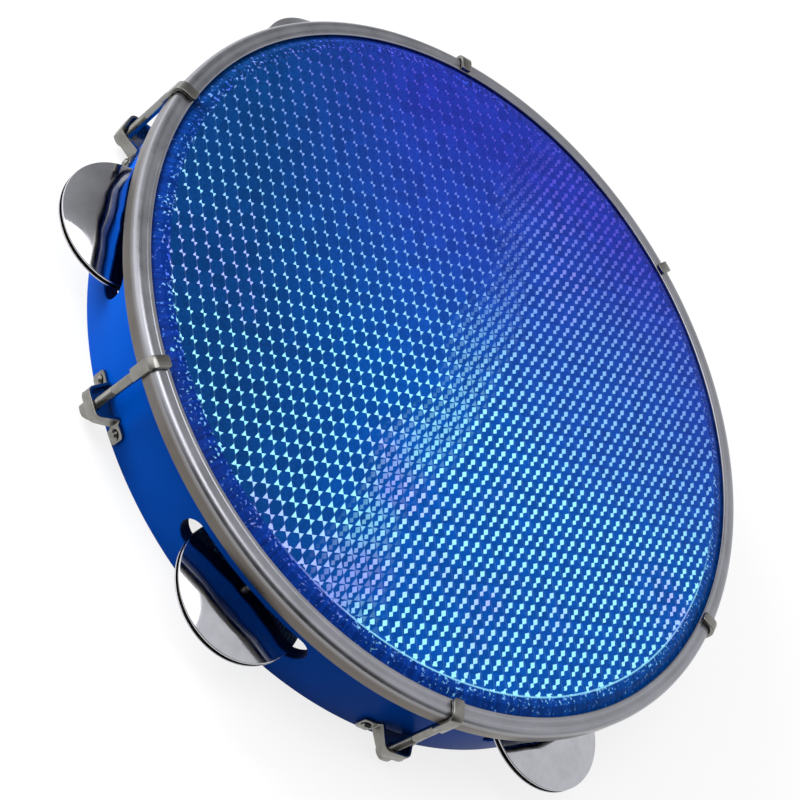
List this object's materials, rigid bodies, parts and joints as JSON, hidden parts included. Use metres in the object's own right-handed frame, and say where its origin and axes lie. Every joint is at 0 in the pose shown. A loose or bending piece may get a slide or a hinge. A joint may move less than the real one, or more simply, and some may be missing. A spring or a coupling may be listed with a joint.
{
  "type": "pandeiro",
  "caption": "Round hand frame drum with a blue film head, tension hooks, and pairs of metal jingles in slots round its shell.",
  "frame": {"origin": "centre of the back rim's plane, on the drum's axis", "axes": "+Z out of the head, the drum lying on its back rim; -Y towards the side that the picture shows nearest"},
  "size_m": [0.3386, 0.3486, 0.0486],
  "materials": {
    "shell": "satin blue laminate over bent plywood",
    "film": "gloss blue holographic film",
    "hoop": "satin nickel plate",
    "plate": "nickel plate",
    "alloy": "plain",
    "jingle": "mirror",
    "damper": "rolled sheet",
    "pin": "bright drawn"
  },
  "bodies": {
    "root": {"shell": "shell", "head": "film", "flesh_hoop": "alloy", "tension_hoop": "hoop", "bracket_1": "plate", "rivet_1a": "plate", "rivet_1b": "plate", "bracket_2": "plate", "rivet_2a": "plate", "rivet_2b": "plate", "bracket_3": "plate", "rivet_3a": "plate", "rivet_3b": "plate", "bracket_4": "plate", "rivet_4a": "plate", "rivet_4b": "plate", "bracket_5": "plate", "rivet_5a": "plate", "rivet_5b": "plate", "bracket_6": "plate", "rivet_6a": "plate", "rivet_6b": "plate", "pin_1": "pin", "pin_2": "pin", "pin_3": "pin", "pin_4": "pin", "pin_5": "pin", "pin_6": "pin"},
    "hook_1": {"hook_1": "plate"},
    "nut_1": {"nut_1": "plate"},
    "hook_2": {"hook_2": "plate"},
    "nut_2": {"nut_2": "plate"},
    "hook_3": {"hook_3": "plate"},
    "nut_3": {"nut_3": "plate"},
    "hook_4": {"hook_4": "plate"},
    "nut_4": {"nut_4": "plate"},
    "hook_5": {"hook_5": "plate"},
    "nut_5": {"nut_5": "plate"},
    "hook_6": {"hook_6": "plate"},
    "nut_6": {"nut_6": "plate"},
    "damper_1": {"damper_1": "damper"},
    "jingle_upper_1": {"jingle_upper_1": "jingle"},
    "jingle_lower_1": {"jingle_lower_1": "jingle"},
    "damper_2": {"damper_2": "damper"},
    "jingle_upper_2": {"jingle_upper_2": "jingle"},
    "jingle_lower_2": {"jingle_lower_2": "jingle"},
    "damper_3": {"damper_3": "damper"},
    "jingle_upper_3": {"jingle_upper_3": "jingle"},
    "jingle_lower_3": {"jingle_lower_3": "jingle"},
    "damper_4": {"damper_4": "damper"},
    "jingle_upper_4": {"jingle_upper_4": "jingle"},
    "jingle_lower_4": {"jingle_lower_4": "jingle"},
    "damper_5": {"damper_5": "damper"},
    "jingle_upper_5": {"jingle_upper_5": "jingle"},
    "jingle_lower_5": {"jingle_lower_5": "jingle"},
    "damper_6": {"damper_6": "damper"},
    "jingle_upper_6": {"jingle_upper_6": "jingle"},
    "jingle_lower_6": {"jingle_lower_6": "jingle"}
  },
  "joints": [
    {"name": "nut_turn_1", "type": "hinge", "parent": "root", "child": "nut_1", "pos_m": [-0.14936, -0.05793, 0.0048], "axis": [0, 0, -1], "range_deg": [0, 1080]},
    {"name": "hook_lift_1", "type": "slide", "parent": "root", "child": "hook_1", "axis": [0, 0, 1], "range_m": [0, 0.0021]},
    {"name": "nut_turn_2", "type": "hinge", "parent": "root", "child": "nut_2", "pos_m": [-0.05845, -0.14916, 0.0048], "axis": [0, 0, -1], "range_deg": [0, 1080]},
    {"name": "hook_lift_2", "type": "slide", "parent": "root", "child": "hook_2", "axis": [0, 0, 1], "range_m": [0, 0.0021]},
    {"name": "nut_turn_3", "type": "hinge", "parent": "root", "child": "nut_3", "pos_m": [0.11088, -0.11563, 0.0048], "axis": [0, 0, -1], "range_deg": [0, 1080]},
    {"name": "hook_lift_3", "type": "slide", "parent": "root", "child": "hook_3", "axis": [0, 0, 1], "range_m": [0, 0.0021]},
    {"name": "nut_turn_4", "type": "hinge", "parent": "root", "child": "nut_4", "pos_m": [0.15437, 0.04281, 0.0048], "axis": [0, 0, -1], "range_deg": [0, 1080]},
    {"name": "hook_lift_4", "type": "slide", "parent": "root", "child": "hook_4", "axis": [0, 0, 1], "range_m": [0, 0.0021]},
    {"name": "nut_turn_5", "type": "hinge", "parent": "root", "child": "nut_5", "pos_m": [0.01424, 0.15957, 0.0048], "axis": [0, 0, -1], "range_deg": [0, 1080]},
    {"name": "hook_lift_5", "type": "slide", "parent": "root", "child": "hook_5", "axis": [0, 0, 1], "range_m": [0, 0.0021]},
    {"name": "nut_turn_6", "type": "hinge", "parent": "root", "child": "nut_6", "pos_m": [-0.11485, 0.11169, 0.0048], "axis": [0, 0, -1], "range_deg": [0, 1080]},
    {"name": "hook_lift_6", "type": "slide", "parent": "root", "child": "hook_6", "axis": [0, 0, 1], "range_m": [0, 0.0021]},
    {"name": "jingle_slide_1", "type": "slide", "parent": "root", "child": "damper_1", "axis": [0, 0, 1], "range_m": [0, 0.0032]},
    {"name": "jingle_upper_spin_1", "type": "hinge", "parent": "damper_1", "child": "jingle_upper_1", "pos_m": [-0.11275, -0.09802, 0.0183], "axis": [0, 0, 1], "continuous": true},
    {"name": "jingle_lower_spin_1", "type": "hinge", "parent": "damper_1", "child": "jingle_lower_1", "pos_m": [-0.11275, -0.09802, 0.0183], "axis": [0, 0, 1], "continuous": true},
    {"name": "jingle_slide_2", "type": "slide", "parent": "root", "child": "damper_2", "axis": [0, 0, 1], "range_m": [0, 0.0032]},
    {"name": "jingle_upper_spin_2", "type": "hinge", "parent": "damper_2", "child": "jingle_upper_2", "pos_m": [0.02851, -0.14666, 0.0183], "axis": [0, 0, 1], "continuous": true},
    {"name": "jingle_lower_spin_2", "type": "hinge", "parent": "damper_2", "child": "jingle_lower_2", "pos_m": [0.02851, -0.14666, 0.0183], "axis": [0, 0, 1], "continuous": true},
    {"name": "jingle_slide_3", "type": "slide", "parent": "root", "child": "damper_3", "axis": [0, 0, 1], "range_m": [0, 0.0032]},
    {"name": "jingle_upper_spin_3", "type": "hinge", "parent": "damper_3", "child": "jingle_upper_3", "pos_m": [0.14126, -0.04864, 0.0183], "axis": [0, 0, 1], "continuous": true},
    {"name": "jingle_lower_spin_3", "type": "hinge", "parent": "damper_3", "child": "jingle_lower_3", "pos_m": [0.14126, -0.04864, 0.0183], "axis": [0, 0, 1], "continuous": true},
    {"name": "jingle_slide_4", "type": "slide", "parent": "root", "child": "damper_4", "axis": [0, 0, 1], "range_m": [0, 0.0032]},
    {"name": "jingle_upper_spin_4", "type": "hinge", "parent": "damper_4", "child": "jingle_upper_4", "pos_m": [0.11275, 0.09802, 0.0183], "axis": [0, 0, 1], "continuous": true},
    {"name": "jingle_lower_spin_4", "type": "hinge", "parent": "damper_4", "child": "jingle_lower_4", "pos_m": [0.11275, 0.09802, 0.0183], "axis": [0, 0, 1], "continuous": true},
    {"name": "jingle_slide_5", "type": "slide", "parent": "root", "child": "damper_5", "axis": [0, 0, 1], "range_m": [0, 0.0032]},
    {"name": "jingle_upper_spin_5", "type": "hinge", "parent": "damper_5", "child": "jingle_upper_5", "pos_m": [-0.02851, 0.14666, 0.0183], "axis": [0, 0, 1], "continuous": true},
    {"name": "jingle_lower_spin_5", "type": "hinge", "parent": "damper_5", "child": "jingle_lower_5", "pos_m": [-0.02851, 0.14666, 0.0183], "axis": [0, 0, 1], "continuous": true},
    {"name": "jingle_slide_6", "type": "slide", "parent": "root", "child": "damper_6", "axis": [0, 0, 1], "range_m": [0, 0.0032]},
    {"name": "jingle_upper_spin_6", "type": "hinge", "parent": "damper_6", "child": "jingle_upper_6", "pos_m": [-0.14126, 0.04864, 0.0183], "axis": [0, 0, 1], "continuous": true},
    {"name": "jingle_lower_spin_6", "type": "hinge", "parent": "damper_6", "child": "jingle_lower_6", "pos_m": [-0.14126, 0.04864, 0.0183], "axis": [0, 0, 1], "continuous": true}
  ],
  "couplings": [
    {"joint": "nut_turn_1", "follows": "hook_lift_1", "rad_per_m": 8976},
    {"joint": "nut_turn_2", "follows": "hook_lift_2", "rad_per_m": 8976},
    {"joint": "nut_turn_3", "follows": "hook_lift_3", "rad_per_m": 8976},
    {"joint": "nut_turn_4", "follows": "hook_lift_4", "rad_per_m": 8976},
    {"joint": "nut_turn_5", "follows": "hook_lift_5", "rad_per_m": 8976},
    {"joint": "nut_turn_6", "follows": "hook_lift_6", "rad_per_m": 8976}
  ]
}
